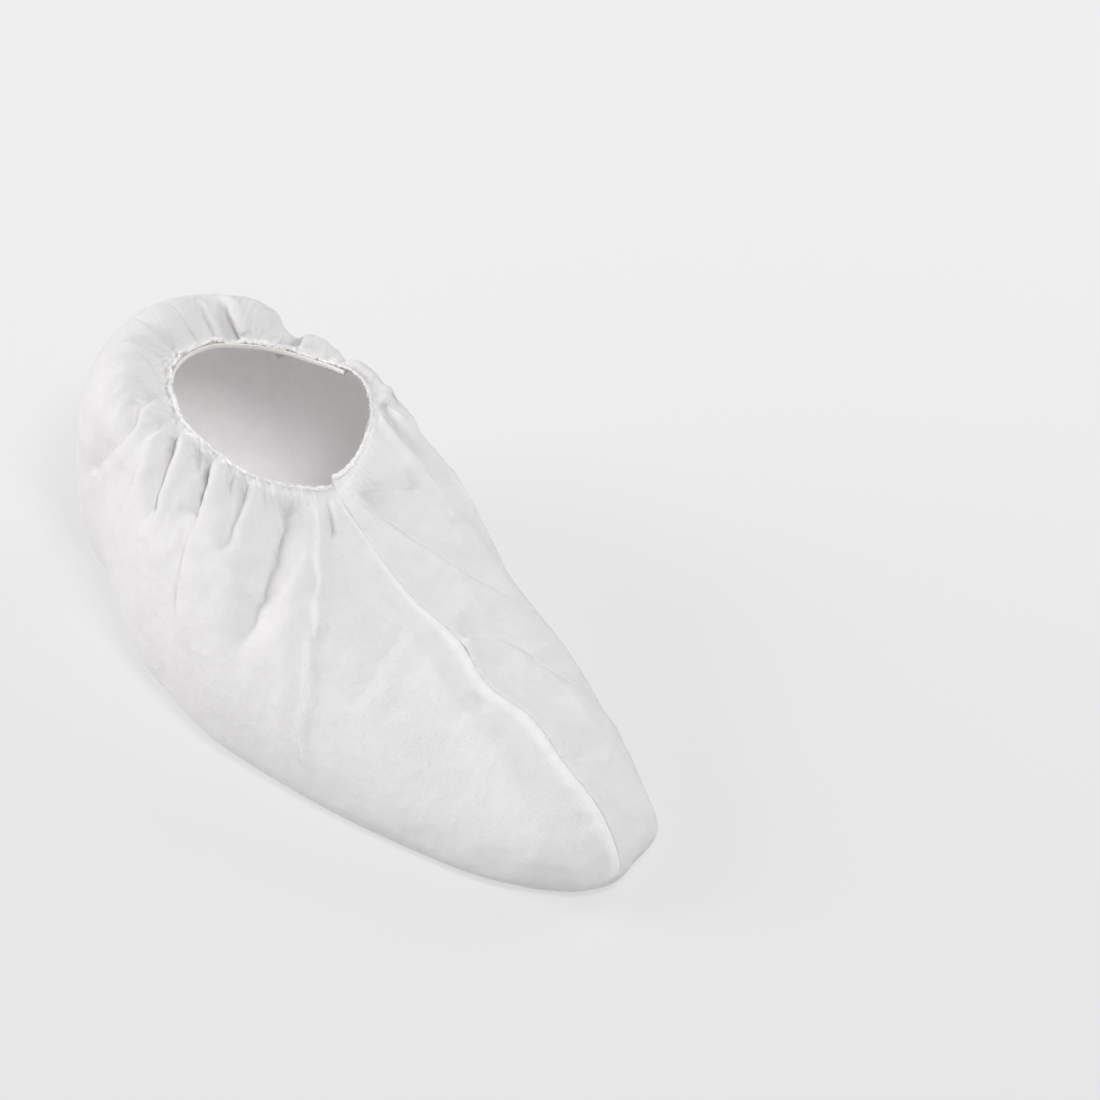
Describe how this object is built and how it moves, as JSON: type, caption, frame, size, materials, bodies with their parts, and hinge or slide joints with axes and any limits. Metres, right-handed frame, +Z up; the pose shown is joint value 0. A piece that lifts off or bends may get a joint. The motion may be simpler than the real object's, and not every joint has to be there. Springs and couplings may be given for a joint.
{
  "type": "shoe cover",
  "caption": "Disposable non-woven overshoe standing open: gathered cloth side panels, an overlocked seam from instep round toe, sole and heel, and a narrow elastic inside the foot opening.",
  "frame": {"origin": "bottom centre of the cover's box, on the surface that it stands on", "axes": "+X towards the toe, +Y towards the wearer's left, +Z up"},
  "size_m": [0.344, 0.1536, 0.1144],
  "materials": {
    "non_woven": "matt white spunbond cloth with fine bond dots",
    "overlock_thread": "white overlock thread over two cloth edges",
    "elastic": "ivory braided elastic, matt"
  },
  "bodies": {
    "root": {"right_panel": "non_woven", "left_panel": "non_woven", "overlock_seam": "overlock_thread", "opening_elastic": "elastic"}
  },
  "joints": []
}
